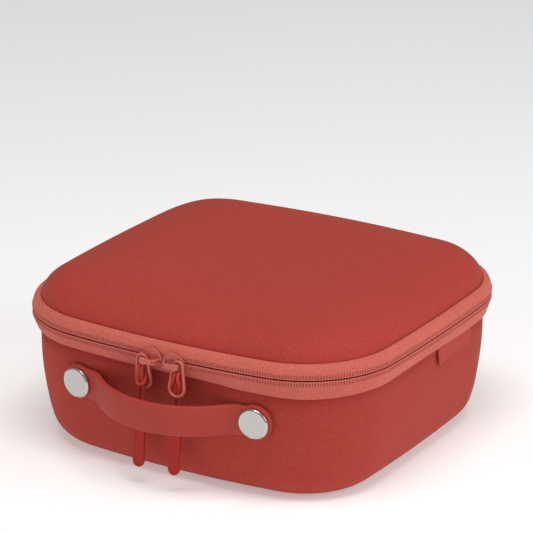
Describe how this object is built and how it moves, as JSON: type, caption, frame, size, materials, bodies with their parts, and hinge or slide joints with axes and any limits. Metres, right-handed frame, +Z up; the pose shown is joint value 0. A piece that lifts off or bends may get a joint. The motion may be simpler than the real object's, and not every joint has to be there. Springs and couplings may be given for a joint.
{
  "type": "lunch box",
  "caption": "Zipped insulated lunch box with a domed hinged lid, a riveted strap handle and two zip sliders with cord pulls.",
  "frame": {"origin": "centre of the flat underside, where the box stands on the table", "axes": "+Z up, -Y out of the front where the handle is, +X to the right side with the label"},
  "size_m": [0.2576, 0.265, 0.115],
  "materials": {
    "shell_fabric": "fine woven polyester laminated on moulded foam",
    "foam": "closed-cell insulating foam",
    "liner": "wipe-clean sheet",
    "zip_coil": "nylon coil",
    "zip_tape": "twill zip tape",
    "hinge_fabric": "woven tape",
    "label": "folded woven tab, bare",
    "silicone": "matte silicone",
    "steel": "satin",
    "slider_metal": "semi-matte paint",
    "cord": "braided cord",
    "tab_rubber": "moulded soft tab"
  },
  "bodies": {
    "base": {"base_shell": "shell_fabric", "base_foam": "foam", "base_liner": "liner", "base_binding": "zip_tape", "zip_tape_lower": "zip_tape", "zip_coil_lower": "zip_coil", "hinge_web_lower": "hinge_fabric", "zip_stop_left": "hinge_fabric", "zip_stop_right": "hinge_fabric", "side_label": "label", "handle_strap": "silicone", "rivet_left": "steel", "rivet_right": "steel", "rivet_washer_left": "steel", "rivet_washer_right": "steel"},
    "lid": {"lid_shell": "shell_fabric", "lid_foam": "foam", "lid_liner": "liner", "lid_binding": "zip_tape", "zip_tape_upper": "zip_tape", "zip_coil_upper": "zip_coil", "hinge_web_upper": "hinge_fabric"},
    "slider_left": {"slider_left": "slider_metal"},
    "slider_right": {"slider_right": "slider_metal"},
    "ring_left": {"puller_ring_left": "slider_metal"},
    "ring_right": {"puller_ring_right": "slider_metal"},
    "pull_left": {"pull_cord_left": "cord", "pull_tab_left": "tab_rubber"},
    "pull_right": {"pull_cord_right": "cord", "pull_tab_right": "tab_rubber"}
  },
  "joints": [
    {"name": "lid_hinge", "type": "hinge", "parent": "base", "child": "lid", "pos_m": [0, 0.1232, 0.0855], "axis": [-1, 0, 0], "range_deg": [0, 180]},
    {"name": "slider_left_travel", "type": "hinge", "parent": "base", "child": "slider_left", "pos_m": [0, 0.5048, 0.0855], "axis": [0, 0, -1], "range_deg": [0, 1.2]},
    {"name": "slider_right_travel", "type": "hinge", "parent": "base", "child": "slider_right", "pos_m": [0, 0.5048, 0.0855], "axis": [0, 0, 1], "range_deg": [0, 1.1]},
    {"name": "ring_left_swing", "type": "hinge", "parent": "slider_left", "child": "ring_left", "pos_m": [-0.01034, -0.12663, 0.084], "axis": [1, -0.0092, 0], "range_deg": [-6, 0]},
    {"name": "ring_right_swing", "type": "hinge", "parent": "slider_right", "child": "ring_right", "pos_m": [0.01557, -0.12652, 0.084], "axis": [0.9998, 0.0175, 0], "range_deg": [-4.5, 0]},
    {"name": "pull_left_swing", "type": "hinge", "parent": "ring_left", "child": "pull_left", "pos_m": [-0.01034, -0.12663, 0.084], "axis": [1, -0.0092, 0], "range_deg": [-3, 0]},
    {"name": "pull_right_swing", "type": "hinge", "parent": "ring_right", "child": "pull_right", "pos_m": [0.01557, -0.12652, 0.084], "axis": [0.9998, 0.0175, 0], "range_deg": [0, 6]}
  ]
}
